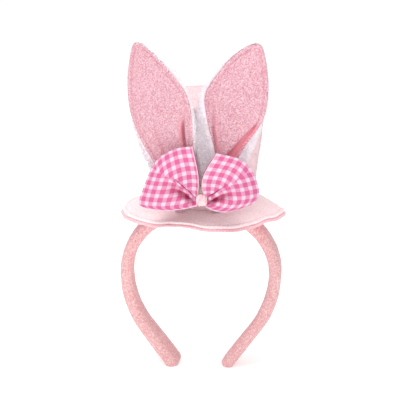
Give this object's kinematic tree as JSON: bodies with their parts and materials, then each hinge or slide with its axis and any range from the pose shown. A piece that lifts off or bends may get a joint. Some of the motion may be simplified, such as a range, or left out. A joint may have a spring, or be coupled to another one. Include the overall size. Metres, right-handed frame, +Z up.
{
  "type": "animal ears headband",
  "caption": "Padded C-shaped headband that carries a small soft top hat with plush rabbit ears and a gathered gingham bow, worn over the crown of the head.",
  "frame": {"origin": "highest point of the band's inner surface, at the middle of its width", "axes": "+Z up from the head through the hat, -Y the front with the bow, +X the right side seen from the front"},
  "size_m": [0.1395, 0.1499, 0.2931],
  "materials": {
    "core": "semi-matt polypropylene strip",
    "foam": "open-cell foam",
    "filling": "loose fibre filling",
    "band_velour": "short-pile velour",
    "brim_felt": "pressed felt",
    "board": "stiff buckram",
    "thread": "sewing thread",
    "glue": "hot-melt glue",
    "crown_velour": "brushed plush",
    "ear_terry": "speckled short-loop terry",
    "ear_plush": "white plush pile",
    "gingham": "woven gingham cotton",
    "satin": "satin ribbon"
  },
  "bodies": {
    "hat": {"core_middle": "core", "padding_middle": "foam", "sleeve_middle": "band_velour", "glue_bead": "glue", "brim_under_felt": "brim_felt", "brim_board": "board", "brim_top_felt": "brim_felt", "brim_stitching": "thread", "crown_wall": "crown_velour", "crown_liner": "board", "crown_filling": "filling", "crown_lid": "crown_velour", "crown_lid_disc": "board", "crown_lid_seam": "thread", "ear_left_root": "ear_terry", "ear_right_root": "ear_terry", "bow_left_loop": "gingham", "bow_right_loop": "gingham", "bow_middle": "gingham", "bow_knot": "satin", "bow_thread": "thread", "bow_glue": "glue"},
    "left_leg": {"core_left": "core", "padding_left": "foam", "sleeve_left": "band_velour"},
    "right_leg": {"core_right": "core", "padding_right": "foam", "sleeve_right": "band_velour"},
    "ear_left": {"ear_left_front": "ear_terry", "ear_left_foam": "foam", "ear_left_back": "ear_plush", "ear_left_stitching": "thread"},
    "ear_right": {"ear_right_front": "ear_terry", "ear_right_foam": "foam", "ear_right_back": "ear_plush", "ear_right_stitching": "thread"}
  },
  "joints": [
    {"name": "left_leg_spread", "type": "hinge", "parent": "hat", "child": "left_leg", "pos_m": [-0.02749, 0, -0.00008], "axis": [0, 1, 0], "range_deg": [-8, 22], "stiffness_Nm_per_rad": 1.2},
    {"name": "right_leg_spread", "type": "hinge", "parent": "hat", "child": "right_leg", "pos_m": [0.02749, 0, -0.00008], "axis": [0, -1, 0], "range_deg": [-8, 22], "stiffness_Nm_per_rad": 1.2},
    {"name": "ear_left_bend", "type": "hinge", "parent": "hat", "child": "ear_left", "pos_m": [-0.0243, -0.05903, 0.078], "axis": [0.9431, -0.3325, 0], "range_deg": [0, 60], "stiffness_Nm_per_rad": 0.05},
    {"name": "ear_right_bend", "type": "hinge", "parent": "hat", "child": "ear_right", "pos_m": [0.02493, -0.05905, 0.078], "axis": [0.9957, -0.0923, 0], "range_deg": [0, 60], "stiffness_Nm_per_rad": 0.05}
  ]
}
